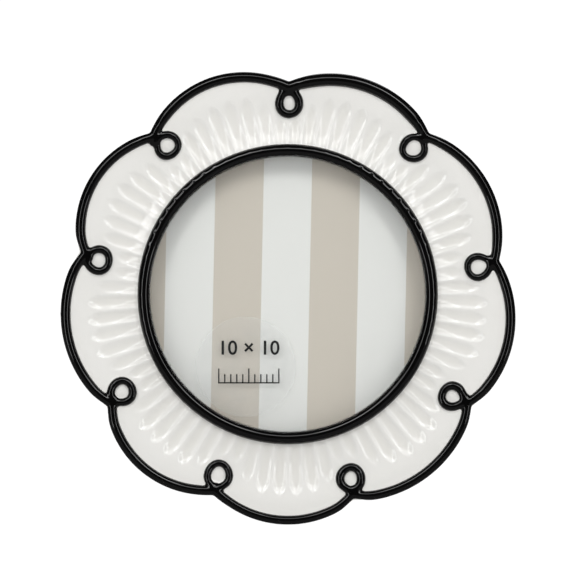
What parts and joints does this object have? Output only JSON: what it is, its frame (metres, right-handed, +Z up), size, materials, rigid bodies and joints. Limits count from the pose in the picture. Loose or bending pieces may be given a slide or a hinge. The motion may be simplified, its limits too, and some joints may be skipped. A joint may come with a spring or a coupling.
{
  "type": "round photo frame",
  "caption": "Round scalloped ceramic table photo frame with a fluted band, raised black line and loops, glass pane, turn buttons and a fold-out easel leg.",
  "frame": {"origin": "middle of the footprint's box, on the table", "axes": "+Z up, -Y the way the picture faces, +X to the viewer's right"},
  "size_m": [0.159, 0.0604, 0.1529],
  "materials": {
    "white_glaze": "glossy glaze",
    "black_glaze": "glossy glaze",
    "clear_glass": "polished",
    "printed_paper": "printed stripes",
    "clear_film": "clear film",
    "grey_card": "raw",
    "black_board": "fibreboard covered in black paper",
    "nickel_steel": "nickel plated",
    "brass_plate": "brass plated"
  },
  "bodies": {
    "frame": {"ceramic_body": "white_glaze", "rim_line": "black_glaze", "opening_ring": "black_glaze", "glass_pane": "clear_glass", "photo_insert": "printed_paper", "size_label": "clear_film", "filler_card": "grey_card", "back_board": "black_board", "carrier_ring": "black_board", "hinge_board_leaf": "brass_plate", "hinge_board_rivets": "brass_plate", "hinge_pin": "brass_plate", "turn_button_screws": "nickel_steel"},
    "leg": {"easel_leg": "black_board", "hinge_leg_leaf": "brass_plate", "hinge_leg_rivets": "brass_plate"},
    "button_1": {"turn_button_1": "nickel_steel"},
    "button_2": {"turn_button_2": "nickel_steel"},
    "button_3": {"turn_button_3": "nickel_steel"},
    "button_4": {"turn_button_4": "nickel_steel"}
  },
  "joints": [
    {"name": "leg_fold", "type": "hinge", "parent": "frame", "child": "leg", "pos_m": [0, 0.01235, 0.09509], "axis": [1, 0, 0], "range_deg": [-25, 0]},
    {"name": "button_1_turn", "type": "hinge", "parent": "frame", "child": "button_1", "pos_m": [0.04086, 0.01433, 0.11408], "axis": [0, 0.9659, -0.2588], "continuous": true},
    {"name": "button_2_turn", "type": "hinge", "parent": "frame", "child": "button_2", "pos_m": [-0.04086, 0.01433, 0.11408], "axis": [0, 0.9659, -0.2588], "continuous": true},
    {"name": "button_3_turn", "type": "hinge", "parent": "frame", "child": "button_3", "pos_m": [-0.04086, -0.00681, 0.03515], "axis": [0, 0.9659, -0.2588], "continuous": true},
    {"name": "button_4_turn", "type": "hinge", "parent": "frame", "child": "button_4", "pos_m": [0.04086, -0.00681, 0.03515], "axis": [0, 0.9659, -0.2588], "continuous": true}
  ]
}
